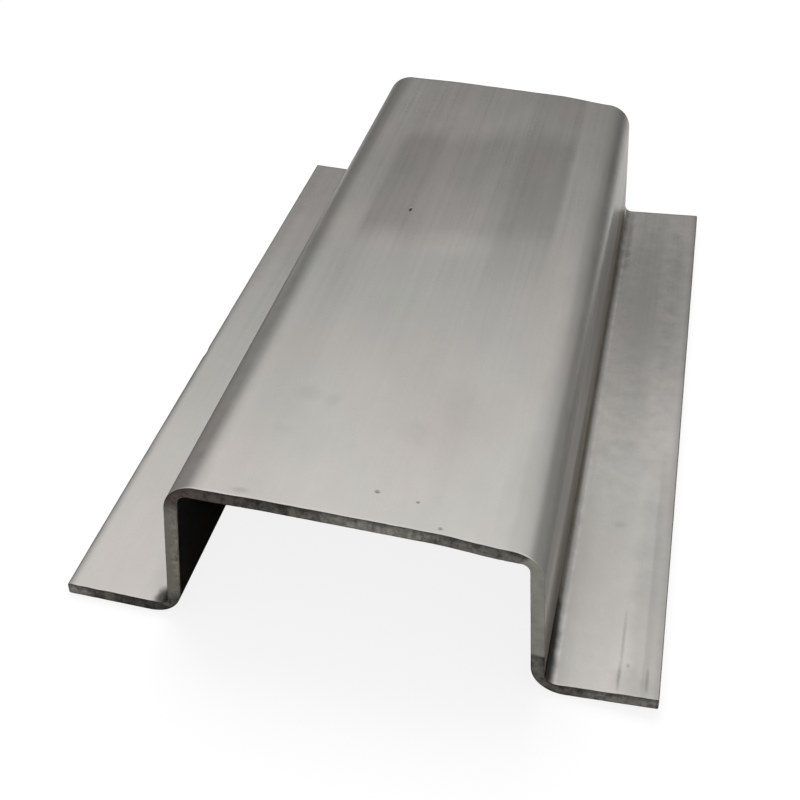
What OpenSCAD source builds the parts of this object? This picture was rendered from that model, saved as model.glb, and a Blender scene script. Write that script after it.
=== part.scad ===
// Hat channel: one length of steel sheet bent four times along its length into a crown,
// two webs and two outward lips. +X runs across the section, +Y along the length and +Z up.
// The origin is the middle of the underside, level with the lowest point of the lips.

/* [Sheet] */
// Thickness of the steel sheet
thickness = 3; // [1:0.1:5]
// Inside radius that a bend of even thickness would have, for all four bends
bend_r = 4.5; // [1:0.5:8]
// Share of its thickness that the sheet loses at the middle of each bend, on the inside
thinning = 0.3; // [0:0.05:0.35]
// Rounding along the slit edges of the two lips
slit_r = 0.4; // [0.1:0.1:0.4]

/* [Section] */
// Width over the crown, between the points where the webs' outer faces would meet its top face
crown_w = 77; // [50:1:150]
// Height of the crown's top face above the underside of the lips
height = 40; // [30:1:100]
// Width of each lip, from its slit edge to where its top face would meet the web
lip_w = 23.5; // [15:0.5:60]

/* [Length] */
// Length of the piece between its two cut ends
length = 200; // [60:5:3000]

/* [Bend angles] */
// Angle in degrees that the left web leans out from upright, towards its foot
left_splay = 3; // [0:0.5:10]
// Angle in degrees that the right web leans out from upright, towards its foot
right_splay = 6; // [0:0.5:10]
// Angle in degrees that the left lip rises towards its slit edge
left_rise = 0; // [0:0.5:8]
// Angle in degrees that the right lip rises towards its slit edge
right_rise = 5; // [0:0.5:8]

/* [Hidden] */
// Bare mill finish
steel = [0.68, 0.67, 0.65];
// Tightest radius left on the inside of a bend
least_r = 0.2;
// Steps in the curve of a bend and of a rounded slit corner
bend_steps = 16;
slit_steps = 4;

// Radius on the outer face of every bend
outer_r = bend_r + thickness;

// How far along a face a bend starts before the corner that it rounds off
function setback(r, turn) = r * tan(turn / 2);

// Points round an arc between two angles
function arc(centre, r, from, to, steps) = [
    for (i = [0 : steps])
        let (angle = from + (to - from) * i / steps)
        centre + r * [cos(angle), sin(angle)]
];

// Radius on the inside of a bend, tighter than `bend_r` because the sheet is thinner there
function inner_r(turn) = max(least_r, bend_r - thinning * thickness / (1 / cos(turn / 2) - 1));

// Points round the inside of a bend. The centre moves towards the corner, along the line that
// halves it, so that the tighter arc still touches both of the flat faces.
function inner_arc(centre, from, to) =
    let (turn = abs(to - from), r = inner_r(turn), middle = (from + to) / 2)
    let (moved = (bend_r - r) / cos(turn / 2))
    arc(centre + moved * [cos(middle), sin(middle)], r, from, to, bend_steps);

// Each function below describes one side of the section, with x measured outwards from the
// middle of the crown. `splay` is its web's lean and `rise` is its lip's.

// Centre of the upper bend, whose outer face touches the top of the crown
function shoulder(splay) =
    [crown_w / 2 - setback(outer_r, 90 - splay), height - outer_r];

// Flat stretch of the web, which ends where the lower bend's outer face can touch z = 0
function web_flat(splay) =
    (height - 2 * outer_r + (bend_r + outer_r) * sin(splay)) / cos(splay);

// Centre of the lower bend, on the other side of the web
function foot(splay) =
    shoulder(splay)
    + web_flat(splay) * [sin(splay), -cos(splay)]
    + (bend_r + outer_r) * [cos(splay), sin(splay)];

// Flat stretch of the lip, out to its slit edge
function lip_flat(splay, rise) = lip_w - setback(bend_r, 90 - splay + rise);

// Centre of a slit edge's rounded corner, whose face lies at a radius of `face_r` from the
// middle of the lower bend. `inwards` points from that face into the sheet.
function slit_centre(splay, rise, face_r, inwards) =
    foot(splay)
    + (lip_flat(splay, rise) - slit_r) * [cos(rise), sin(rise)]
    + (face_r + inwards * slit_r) * [sin(rise), -cos(rise)];

// The upper face, from the crown out to the slit edge
function upper_face(splay, rise) = concat(
    arc(shoulder(splay), outer_r, 90, splay, bend_steps),
    inner_arc(foot(splay), 180 + splay, 270 + rise),
    arc(slit_centre(splay, rise, bend_r, 1), slit_r, 90 + rise, rise, slit_steps)
);

// The lower face, from the slit edge back to the crown
function lower_face(splay, rise) = concat(
    arc(slit_centre(splay, rise, outer_r, -1), slit_r, rise, rise - 90, slit_steps),
    arc(foot(splay), outer_r, 270 + rise, 180 + splay, bend_steps),
    inner_arc(shoulder(splay), splay, 90)
);

function side_outline(splay, rise) =
    concat(upper_face(splay, rise), lower_face(splay, rise));

// Furthest that a side stands out, at the lower rounded corner of its slit edge
function reach(splay, rise) = slit_centre(splay, rise, outer_r, -1)[0] + slit_r;

// Shift that puts the middle of the whole width on x = 0
section_shift = (reach(left_splay, left_rise) - reach(right_splay, right_rise)) / 2;

// The whole section, standing in the XY plane: out along the right side and back, then the
// mirror of the left side's outline taken the other way round
module hat_section() {
    right = side_outline(right_splay, right_rise);
    left = side_outline(left_splay, left_rise);
    left_reversed = [for (i = [len(left) - 1 : -1 : 0]) [-left[i][0], left[i][1]]];
    translate([section_shift, 0])
        polygon(concat(right, left_reversed));
}

module hat_channel() {
    color(steel)
        translate([0, length / 2, 0])
            rotate([90, 0, 0])
                linear_extrude(height = length)
                    hat_section();
}

hat_channel();
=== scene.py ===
"""Looks of a short length of bent steel hat channel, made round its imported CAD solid.

The piece is made as the real one is. A flat blank of sheet gets its uneven rolled faces and its
rough cut ends first, and four bends along its length then fold it to the CAD section. Every
material reads the place on that blank, so grain, scuffs and scratches follow the sheet round
its bends. Lengths are in metres, and MM turns a size in millimetres into them.
"""

import logging
import math
from dataclasses import dataclass
from enum import Enum
from functools import partial, reduce
from itertools import accumulate

import bpy
from mathutils import Matrix, Vector


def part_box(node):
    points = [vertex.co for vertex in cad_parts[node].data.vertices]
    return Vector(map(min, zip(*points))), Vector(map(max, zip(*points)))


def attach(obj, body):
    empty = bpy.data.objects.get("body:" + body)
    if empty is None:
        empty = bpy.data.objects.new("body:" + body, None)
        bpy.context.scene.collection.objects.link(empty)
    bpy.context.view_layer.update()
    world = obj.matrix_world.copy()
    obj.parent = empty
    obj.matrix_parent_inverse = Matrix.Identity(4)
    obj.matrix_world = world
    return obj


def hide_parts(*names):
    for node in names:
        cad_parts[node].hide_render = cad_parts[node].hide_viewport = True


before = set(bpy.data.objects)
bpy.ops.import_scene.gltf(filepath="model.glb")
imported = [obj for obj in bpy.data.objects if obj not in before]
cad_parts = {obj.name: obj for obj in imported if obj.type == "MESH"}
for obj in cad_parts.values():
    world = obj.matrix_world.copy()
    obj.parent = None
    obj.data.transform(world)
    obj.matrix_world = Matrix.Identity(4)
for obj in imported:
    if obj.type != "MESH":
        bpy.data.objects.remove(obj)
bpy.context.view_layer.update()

MM = 0.001
BLANK = "blank"
GEOMETRY = "NodeSocketGeometry"
VECTOR = "NodeSocketVector"

log = logging.getLogger("hat_channel")

Output = bpy.types.NodeSocket
Value = Output | float | int | tuple | bpy.types.Material


class Side(Enum):
    """Which side of the crown a bend or a lip is on, as the sign of its x."""

    LEFT = -1
    RIGHT = 1

    @property
    def title(self) -> str:
        """The side's name as the shape tree's inputs spell it."""
        return self.name.title()


class Way(Enum):
    """Which way a bend turns the sheet beyond it."""

    DOWN = 1
    UP = -1


class Line(Enum):
    """A line along the blank where one strip of the section ends, by its name in Run."""

    CROWN = "crown"
    SHOULDER = "shoulder"
    WEB = "web"
    FOOT = "foot"


class Kind(Enum):
    """The two kinds of node tree that this script builds."""

    SHAPE = "GeometryNodeTree"
    SHADER = "ShaderNodeTree"


@dataclass(frozen=True)
class Socket:
    """One named input or output of a node group."""

    name: str
    kind: str = "NodeSocketFloat"
    default: float | int | tuple | None = None


def towards(azimuth: float, elevation: float) -> Vector:
    """Gives the direction at an azimuth, clockwise from +Y, and an elevation.

    Args:
        azimuth: degrees clockwise from +Y, seen from above.
        elevation: degrees above the level.

    Returns:
        A vector of length 1.
    """
    turn, rise = math.radians(azimuth), math.radians(elevation)
    level = Vector((math.sin(turn), math.cos(turn), 0)) * math.cos(rise)
    return level + Vector((0, 0, math.sin(rise)))


class Graph:
    """A node tree while it is being wired, with one short call for each node it needs."""

    def __init__(self, tree: bpy.types.NodeTree) -> None:
        """Keeps the tree that nodes are added to."""
        self.tree = tree

    @classmethod
    def group(cls, name: str, kind: Kind, inputs: list[Socket], outputs: list[Socket]) -> "Graph":
        """Starts a node group with named inputs and outputs.

        Args:
            name: the group's name.
            kind: a shape tree or a shader tree.
            inputs: its inputs, in order.
            outputs: its outputs, in order.

        Returns:
            The graph, with its group nodes in `source` and `sink`.
        """
        tree = bpy.data.node_groups.new(name, kind.value)
        for in_out, sockets in (("INPUT", inputs), ("OUTPUT", outputs)):
            for socket in sockets:
                made = tree.interface.new_socket(
                    name=socket.name, in_out=in_out, socket_type=socket.kind
                )
                if socket.default is not None:
                    made.default_value = socket.default
        graph = cls(tree)
        graph.source = graph.add("NodeGroupInput").outputs
        graph.sink = graph.add("NodeGroupOutput").inputs
        return graph

    @classmethod
    def stage_material(cls, name: str) -> tuple[bpy.types.Material, "Graph"]:
        """Starts an empty material for a card or the floor, which isn't sampled as a lamp.

        Args:
            name: the material's name.

        Returns:
            The material and its graph.
        """
        made = bpy.data.materials.new(name)
        made.use_nodes = True
        made.cycles.emission_sampling = "NONE"
        made.node_tree.nodes.clear()
        return made, cls(made.node_tree)

    def add(self, kind: str, feeds: dict | None = None, **settings: object) -> bpy.types.Node:
        """Adds one node.

        Args:
            kind: the node's type name.
            feeds: what goes into its inputs, by name or number.
            settings: the node's own options.

        Returns:
            The new node.
        """
        node = self.tree.nodes.new(kind)
        for option, setting in settings.items():
            setattr(node, option, setting)
        for key, value in (feeds or {}).items():
            self.feed(node.inputs[key], value)
        return node

    def feed(self, socket: Output, value: Value) -> None:
        """Links an output to a socket, or sets the socket to a plain value.

        Args:
            socket: the input to feed.
            value: an output socket, or what the input is set to.
        """
        if isinstance(value, Output):
            self.tree.links.new(value, socket)
        else:
            socket.default_value = value

    def use(self, group: "Graph", feeds: dict) -> bpy.types.Node:
        """Places a node group in this tree.

        Args:
            group: the group to place.
            feeds: what goes into its inputs, by name.

        Returns:
            The group's node.
        """
        shape = self.tree.bl_idname == Kind.SHAPE.value
        kind = "GeometryNodeGroup" if shape else "ShaderNodeGroup"
        return self.add(kind, feeds, node_tree=group.tree)

    def math(self, operation: str, *values: Value, clamp: bool = False) -> Output:
        """Adds a Math node.

        Args:
            operation: what it works out.
            values: its inputs in order.
            clamp: whether the result is held between 0 and 1.

        Returns:
            Its result.
        """
        feeds = dict(enumerate(values))
        return self.add("ShaderNodeMath", feeds, operation=operation, use_clamp=clamp).outputs[0]

    def total(self, *values: Value) -> Output:
        """Adds up any number of values."""
        return reduce(partial(self.math, "ADD"), values)

    def times(self, *values: Value) -> Output:
        """Multiplies any number of values."""
        return reduce(partial(self.math, "MULTIPLY"), values)

    def most(self, *values: Value) -> Output:
        """Gives the largest of any number of values."""
        return reduce(partial(self.math, "MAXIMUM"), values)

    def vector(self, operation: str, *values: Value) -> Output:
        """Adds a Vector Math node.

        Args:
            operation: what it works out.
            values: its inputs in order.

        Returns:
            Its result.
        """
        node = self.add("ShaderNodeVectorMath", operation=operation)
        for index, value in enumerate(values):
            self.feed(node.inputs["Scale" if operation == "SCALE" and index == 1 else index], value)
        return node.outputs["Value" if operation == "LENGTH" else "Vector"]

    def split(self, vector: Value) -> list[Output]:
        """Gives a vector's three parts."""
        return list(self.add("ShaderNodeSeparateXYZ", {0: vector}).outputs)

    def join(self, x: Value, y: Value, z: Value) -> Output:
        """Makes a vector of three parts."""
        return self.add("ShaderNodeCombineXYZ", {0: x, 1: y, 2: z}).outputs[0]

    def ramp(
        self,
        value: Value,
        low: Value,
        high: Value,
        start: Value = 0.0,
        end: Value = 1.0,
        smooth: bool = False,
    ) -> Output:
        """Takes a value from one range to another, held at both ends.

        Args:
            value: what is taken over.
            low: where its range starts.
            high: where its range ends.
            start: the result at `low`.
            end: the result at `high`.
            smooth: whether it eases in and out.

        Returns:
            The result.
        """
        node = self.add(
            "ShaderNodeMapRange",
            {"Value": value, "From Min": low, "From Max": high, "To Min": start, "To Max": end},
            interpolation_type="SMOOTHSTEP" if smooth else "LINEAR",
        )
        return node.outputs[0]

    def noise(
        self, vector: Value, scale: Value, detail: float = 2.0, rough: float = 0.5
    ) -> Output:
        """Adds a noise, which lies around one half.

        Args:
            vector: where it is read.
            scale: how many of its lumps there are to a metre.
            detail: how many finer layers it has.
            rough: how strong the finer layers are.

        Returns:
            Its value.
        """
        feeds = {"Vector": vector, "Scale": scale, "Detail": detail, "Roughness": rough}
        return self.add("ShaderNodeTexNoise", feeds).outputs[0]

    def tint(
        self, factor: Value, first: Value, second: Value, blend: str = "MIX"
    ) -> Output:
        """Mixes two colours.

        Args:
            factor: the share of the second.
            first: the colour at 0.
            second: the colour at 1.
            blend: how the second is laid on the first.

        Returns:
            The mixed colour.
        """
        node = self.add("ShaderNodeMix", data_type="RGBA", blend_type=blend)
        colours = ((*c, 1.0) if isinstance(c, tuple) else c for c in (first, second))
        for key, value in zip(("Factor_Float", "A_Color", "B_Color"), (factor, *colours)):
            self.feed(next(s for s in node.inputs if s.identifier == key), value)
        return next(s for s in node.outputs if s.identifier == "Result_Color")


@dataclass(frozen=True)
class Flank:
    """One side of the section, from the middle of the crown to the slit edge.

    `splay` is how far its web leans out and `rise` how far its lip rises, in degrees. `droop` is
    how far the crown has fallen away at its shoulder.
    """

    side: Side
    splay: float
    rise: float
    droop: float

    @property
    def shoulder_turn(self) -> float:
        """How far the upper bend turns the sheet, in radians."""
        return math.radians(90 - self.splay)

    @property
    def foot_turn(self) -> float:
        """How far the lower bend turns the sheet back, in radians."""
        return math.radians(90 - self.splay + self.rise)


@dataclass(frozen=True)
class Run:
    """Where each strip of one side of the blank ends, outwards from the middle of the crown."""

    crown: float
    shoulder: float
    web: float
    foot: float
    slit: float


@dataclass(frozen=True)
class Section:
    """The sizes of the bent section, which its flat blank is worked out from."""

    height: float
    crown_width: float = 77 * MM
    lip_width: float = 23.5 * MM
    thickness: float = 3 * MM
    inside_radius: float = 4.5 * MM
    thinning: float = 0.3
    edge_round: float = 0.4 * MM
    left: Flank = Flank(Side.LEFT, splay=3, rise=0, droop=0.35 * MM)
    right: Flank = Flank(Side.RIGHT, splay=6, rise=5, droop=0.9 * MM)

    @property
    def flanks(self) -> tuple[Flank, Flank]:
        """The left and the right side."""
        return self.left, self.right

    @property
    def outside_radius(self) -> float:
        """Radius on the outer face of a bend."""
        return self.inside_radius + self.thickness

    @property
    def middle_radius(self) -> float:
        """Radius half way through the sheet, where bending neither stretches nor squeezes it."""
        return self.inside_radius + self.thickness / 2

    def crown_flat(self, flank: Flank) -> float:
        """Flat part of the crown on one side of its middle."""
        return self.crown_width / 2 - self.outside_radius * math.tan(flank.shoulder_turn / 2)

    def web_flat(self, flank: Flank) -> float:
        """Flat part of the web, long enough for the foot to touch the floor.

        Args:
            flank: the side.

        Returns:
            Its width.
        """
        lean = math.radians(flank.splay)
        both = self.inside_radius + self.outside_radius
        return (self.height - 2 * self.outside_radius + both * math.sin(lean)) / math.cos(lean)

    def lip_flat(self, flank: Flank) -> float:
        """Flat part of the lip, out to its slit edge."""
        return self.lip_width - self.inside_radius * math.tan(flank.foot_turn / 2)

    def tight_radius(self, turn: float) -> float:
        """Radius on the inside of a bend, tighter because the sheet is thinner there.

        Args:
            turn: how far the bend turns the sheet, in radians.

        Returns:
            The radius.
        """
        spare = 1 / math.cos(turn / 2) - 1
        return self.inside_radius - self.thinning * self.thickness / spare

    def run(self, flank: Flank) -> Run:
        """Works out where one side's strips of the blank end.

        Args:
            flank: the side.

        Returns:
            The places, measured outwards from the middle of the crown.
        """
        widths = (
            self.crown_flat(flank),
            self.middle_radius * flank.shoulder_turn,
            self.web_flat(flank),
            self.middle_radius * flank.foot_turn,
            self.lip_flat(flank),
        )
        return Run(*accumulate(widths))

    def reach(self, flank: Flank) -> float:
        """How far the lip's lower corner stands out from the middle of the crown.

        Args:
            flank: the side.

        Returns:
            The distance.
        """
        lean, rise = math.radians(flank.splay), math.radians(flank.rise)
        both = self.inside_radius + self.outside_radius
        web = self.web_flat(flank) * math.sin(lean)
        lip = (self.lip_flat(flank) - self.edge_round) * math.cos(rise)
        corner = (self.outside_radius - self.edge_round) * math.sin(rise) + self.edge_round
        return self.crown_flat(flank) + web + both * math.cos(lean) + lip + corner


@dataclass(frozen=True)
class Zone:
    """A stretch of the blank along one axis, cut into equal cells."""

    width: Value
    cells: int


class PressBrake:
    """The node groups that age a flat blank and bend it along lines.

    The first four values are how many lumps each kind of wear has to a metre of sheet.
    """

    ROLLED_LUMPS = 38.0
    TORN_LUMPS = (330.0, 1300.0)
    NICK_LUMPS = 210.0
    RIPPLE_LUMPS = 120.0
    ROLLED_STRETCH = 0.45
    NICK_DEPTH = 0.3

    def __init__(self) -> None:
        """Builds the groups that every bend and strip uses."""
        self.bend = self._bend()
        self.wear = self._wear()

    @staticmethod
    def _inner_face(g: Graph, angle: Value, turn: Value, inside: Value, tight: Value) -> Output:
        """Works out how far a bend's inner face is from the centre of its outer arc.

        The inner face runs straight on past the start of the bend, then turns on a tighter arc
        whose centre is nearer the corner.

        Args:
            g: the bend's tree.
            angle: how far round the bend.
            turn: how far the whole bend turns the sheet.
            inside: the radius that the inner face would have in a sheet of even thickness.
            tight: the radius that it has.

        Returns:
            The distance.
        """
        half = g.times(turn, 0.5)
        off = g.math("ABSOLUTE", g.math("SUBTRACT", angle, half))
        moved = g.math("DIVIDE", g.math("SUBTRACT", inside, tight), g.math("COSINE", half))
        flat = g.math("DIVIDE", inside, g.math("COSINE", g.math("SUBTRACT", half, off)))
        sway = g.times(moved, g.math("SINE", off))
        chord = g.math("SUBTRACT", g.times(tight, tight), g.times(sway, sway))
        round_off = g.math("SQRT", g.math("MAXIMUM", chord, 0.0))
        curved = g.math("MULTIPLY_ADD", moved, g.math("COSINE", off), round_off)
        gap = g.times(g.math("SUBTRACT", inside, tight), g.math("TANGENT", half))
        touch = g.math("SUBTRACT", half, g.math("ARCTANGENT", g.math("DIVIDE", gap, inside)))
        return g.ramp(g.math("LESS_THAN", off, touch), 0.0, 1.0, flat, curved)

    def _bend(self) -> Graph:
        """Builds the group that folds what lies beyond a line round a radius.

        Returns:
            The group. The blank's middle plane is z = 0 before the first bend.
        """
        g = Graph.group(
            "press_brake_bend",
            Kind.SHAPE,
            [
                Socket("Geometry", GEOMETRY),
                Socket("Side", default=1.0),
                Socket("Way", default=1.0),
                Socket("Start", default=0.03),
                Socket("Radius", default=0.006),
                Socket("Turn", default=1.5),
                Socket("Thickness", default=0.003),
                Socket("Tight Radius", default=0.002),
            ],
            [Socket("Geometry", GEOMETRY)],
        )
        names = ("Side", "Way", "Start", "Radius", "Turn", "Thickness", "Tight Radius")
        side, way, start, radius, turn, thickness, tight = (g.source[name] for name in names)
        x, y, z = g.split(g.add("GeometryNodeInputPosition").outputs[0])
        out = g.times(x, side)
        stop = g.math("MULTIPLY_ADD", radius, turn, start)
        angle = g.ramp(out, start, stop, 0.0, turn)
        beyond = g.math("MAXIMUM", g.math("SUBTRACT", out, stop), 0.0)
        inside = g.math("MULTIPLY_ADD", thickness, -0.5, radius)
        outside = g.math("ADD", inside, thickness)
        near = self._inner_face(g, angle, turn, inside, tight)
        height = g.math("SUBTRACT", g.math("MULTIPLY_ADD", way, z, radius), inside)
        through = g.math("DIVIDE", height, thickness)
        arm = g.math("MULTIPLY_ADD", through, g.math("SUBTRACT", outside, near), near)
        sine, cosine = g.math("SINE", angle), g.math("COSINE", angle)
        across = g.total(g.math("MINIMUM", out, start), g.times(arm, sine), g.times(beyond, cosine))
        drop = g.math("SUBTRACT", g.times(beyond, sine), g.times(arm, cosine))
        down = g.times(g.math("ADD", drop, radius), way)
        place = g.join(g.times(across, side), y, g.times(down, -1.0))
        feeds = {"Geometry": g.source["Geometry"], "Position": place}
        g.feed(g.sink["Geometry"], g.add("GeometryNodeSetPosition", feeds).outputs[0])
        return g

    def _wear(self) -> Graph:
        """Builds the group that takes a little metal off the flat blank.

        It only goes inwards, so that the piece stays inside its CAD solid: faces get a rolled
        unevenness, the slit edges a few nicks, and the cut ends a torn surface.

        Returns:
            The group.
        """
        g = Graph.group(
            "blank_wear",
            Kind.SHAPE,
            [
                Socket("Geometry", GEOMETRY),
                Socket("Unevenness", default=0.0),
                Socket("Tear", default=0.0),
                Socket("Nicks", default=0.0),
                Socket("Seed", default=0.0),
            ],
            [Socket("Geometry", GEOMETRY)],
        )
        place = g.add("GeometryNodeInputPosition").outputs[0]
        seeded = g.vector("ADD", place, g.join(g.source["Seed"], 0.0, 0.0))
        normal = g.add("GeometryNodeInputNormal").outputs[0]
        edge, end, face = (g.math("ABSOLUTE", part) for part in g.split(normal))
        drawn = g.vector("MULTIPLY", seeded, (1.0, self.ROLLED_STRETCH, 1.0))
        rolled = g.noise(drawn, self.ROLLED_LUMPS, 1.0)
        coarse, fine = self.TORN_LUMPS
        torn = g.ramp(g.noise(seeded, coarse, 2.0, 0.6), 0.35, 0.7)
        torn = g.math("MULTIPLY_ADD", g.ramp(g.noise(seeded, fine, 1.0), 0.3, 0.7), 0.45, torn)
        deep = g.vector("MULTIPLY", seeded, (1.0, 1.0, self.NICK_DEPTH))
        nick = g.ramp(g.noise(deep, self.NICK_LUMPS, 1.0), 0.66, 0.78, smooth=True)
        nicked = g.total(nick, g.times(g.noise(seeded, self.RIPPLE_LUMPS, 1.0), 0.25))
        depth = g.total(
            g.times(rolled, g.source["Unevenness"], face),
            g.times(torn, g.source["Tear"], end),
            g.times(nicked, g.source["Nicks"], edge),
        )
        offset = g.vector("SCALE", normal, g.times(depth, -1.0))
        feeds = {"Geometry": g.source["Geometry"], "Offset": offset}
        g.feed(g.sink["Geometry"], g.add("GeometryNodeSetPosition", feeds).outputs[0])
        return g


@dataclass(frozen=True)
class Wear:
    """How far the blank's faces, ends and slit edges have lost their true shape."""

    unevenness: float = 0.06 * MM
    tear: float = 0.16 * MM
    nicks: float = 0.35 * MM
    seed: float = 3.0


@dataclass
class HatChannel:
    """The one piece of sheet: its sizes, its blank and its bends.

    The cells are counted over each zone of the blank. The crown starts to fall away at
    `droop_start` from its middle, and the fall has gone at the share `droop_stop` of the web. A
    face belongs to a cut end where its normal points along the sheet by more than `end_facing`.
    """

    section: Section
    length: float
    wear: Wear = Wear()
    name: str = "hat_channel_sheet"
    end_round: float = 0.12 * MM
    lip_cells: int = 36
    bend_cells: int = 22
    web_cells: int = 44
    crown_cells: int = 54
    round_cells: int = 3
    fine_end: float = 2.4 * MM
    fine_cells: int = 6
    long_cells: int = 84
    face_cells: int = 2
    core_cells: int = 5
    droop_start: float = 16 * MM
    droop_stop: float = 0.6
    end_facing: float = 0.75

    def _inputs(self) -> dict[str, tuple[str, Value]]:
        """Lists the tree's named inputs.

        Returns:
            Each input's socket type and its value for this piece.
        """
        s = self.section
        number = "NodeSocketFloat"
        inputs = {
            "Length": (number, self.length),
            "Thickness": (number, s.thickness),
            "Middle Radius": (number, s.middle_radius),
            "Edge Round": (number, s.edge_round),
            "End Round": (number, self.end_round),
            "Shift": (number, (s.reach(s.left) - s.reach(s.right)) / 2),
            "Height": (number, s.height),
            "Unevenness": (number, self.wear.unevenness),
            "Tear": (number, self.wear.tear),
            "Nicks": (number, self.wear.nicks),
            "Seed": (number, self.wear.seed),
        }
        for flank in s.flanks:
            side = flank.side.title
            inputs[f"{side} Crown"] = (number, s.crown_flat(flank))
            inputs[f"{side} Web"] = (number, s.web_flat(flank))
            inputs[f"{side} Lip"] = (number, s.lip_flat(flank))
            inputs[f"{side} Shoulder Turn"] = (number, flank.shoulder_turn)
            inputs[f"{side} Foot Turn"] = (number, flank.foot_turn)
            inputs[f"{side} Shoulder Inside"] = (number, s.tight_radius(flank.shoulder_turn))
            inputs[f"{side} Foot Inside"] = (number, s.tight_radius(flank.foot_turn))
            inputs[f"{side} Droop"] = (number, flank.droop)
        return inputs

    def _spread(self, g: Graph, count: Value, zones: list[Zone], start: Value) -> Output:
        """Places a grid line, so that each zone's cells fill its own width.

        Args:
            g: the tree.
            count: the line's number, from the first zone on.
            zones: the zones in order.
            start: where the first zone starts.

        Returns:
            The line's place.
        """
        first, place = 0, start
        for zone in zones:
            last = first + zone.cells
            place = g.total(place, g.ramp(count, float(first), float(last), 0.0, zone.width))
            first = last
        return place

    def _side_zones(self, g: Graph, side: str, arcs: dict[str, Output]) -> list[Zone]:
        """Lists the zones of one side of the blank, outwards from the middle of the crown.

        Args:
            g: the tree.
            side: the side's name.
            arcs: the length of sheet in each bend, by its name.

        Returns:
            The zones.
        """
        value = g.source
        lip = g.math("SUBTRACT", value[f"{side} Lip"], value["Edge Round"])
        return [
            Zone(value[f"{side} Crown"], self.crown_cells),
            Zone(arcs[f"{side} Shoulder"], self.bend_cells),
            Zone(value[f"{side} Web"], self.web_cells),
            Zone(arcs[f"{side} Foot"], self.bend_cells),
            Zone(lip, self.lip_cells),
            Zone(value["Edge Round"], self.round_cells),
        ]

    def _long_zones(self, g: Graph) -> list[Zone]:
        """Lists the zones along the blank, with fine ones at its two cut ends.

        Args:
            g: the tree.

        Returns:
            The zones.
        """
        value = g.source
        end = [Zone(value["End Round"], self.round_cells), Zone(self.fine_end, self.fine_cells)]
        both_ends = g.math("MULTIPLY_ADD", value["End Round"], 2.0, 2 * self.fine_end)
        middle = g.math("SUBTRACT", value["Length"], both_ends)
        return [*end, Zone(middle, self.long_cells), *end[::-1]]

    def _thick_zones(self, g: Graph) -> list[Zone]:
        """Lists the zones through the blank.

        Args:
            g: the tree.

        Returns:
            The zones.
        """
        face = Zone(g.source["Edge Round"], self.face_cells)
        core = g.math("MULTIPLY_ADD", face.width, -2.0, g.source["Thickness"])
        return [face, Zone(core, self.core_cells), face]

    def _blank(self, g: Graph, arcs: dict[str, Output]) -> Output:
        """Lays out the flat blank with rounded edges.

        Args:
            g: the tree.
            arcs: the length of sheet in each bend, by its name.

        Returns:
            The blank's geometry, with its middle plane at z = 0.
        """
        left, right = (self._side_zones(g, side.title, arcs) for side in Side)
        axes = (left[::-1] + right, self._long_zones(g), self._thick_zones(g))
        cells = [sum(zone.cells for zone in zones) for zones in axes]
        sizes = {"Size": tuple(float(n) for n in cells)}
        sizes |= {f"Vertices {axis}": n + 1 for axis, n in zip("XYZ", cells)}
        block = g.add("GeometryNodeMeshCube", sizes).outputs["Mesh"]
        half = tuple(n / 2 for n in cells)
        counts = g.split(g.vector("ADD", g.add("GeometryNodeInputPosition").outputs[0], half))
        left_edge = g.times(g.total(*(zone.width for zone in left)), -1.0)
        right_edge = g.total(*(zone.width for zone in right))
        back, under = (g.times(g.source[name], -0.5) for name in ("Length", "Thickness"))
        starts = (left_edge, back, under)
        flat = g.join(*(self._spread(g, *axis) for axis in zip(counts, axes, starts)))
        laid = g.add("GeometryNodeSetPosition", {"Geometry": block, "Position": flat}).outputs[0]
        here = g.add("GeometryNodeInputPosition").outputs[0]
        feeds = {"Geometry": laid, "Name": BLANK, "Value": here}
        marked = g.add("GeometryNodeStoreNamedAttribute", feeds, data_type="FLOAT_VECTOR")
        stops = (right_edge, g.times(back, -1.0), g.times(under, -1.0))
        rounded = self._rounded(g, here, g.join(*starts), g.join(*stops))
        feeds = {"Geometry": marked.outputs[0], "Position": rounded}
        return g.add("GeometryNodeSetPosition", feeds).outputs[0]

    def _rounded(self, g: Graph, here: Output, low: Output, high: Output) -> Output:
        """Rounds the blank's edges, by drawing its outermost cells in to an ellipsoid.

        Args:
            g: the tree.
            here: the place of a point before.
            low: the blank's lowest corner.
            high: its highest corner.

        Returns:
            The place of the point after.
        """
        edge_round = g.source["Edge Round"]
        inset = g.join(edge_round, g.source["End Round"], edge_round)
        inner = g.vector("MAXIMUM", here, g.vector("ADD", low, inset))
        inner = g.vector("MINIMUM", inner, g.vector("SUBTRACT", high, inset))
        away = g.vector("NORMALIZE", g.vector("DIVIDE", g.vector("SUBTRACT", here, inner), inset))
        return g.vector("ADD", inner, g.vector("MULTIPLY", away, inset))

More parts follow.
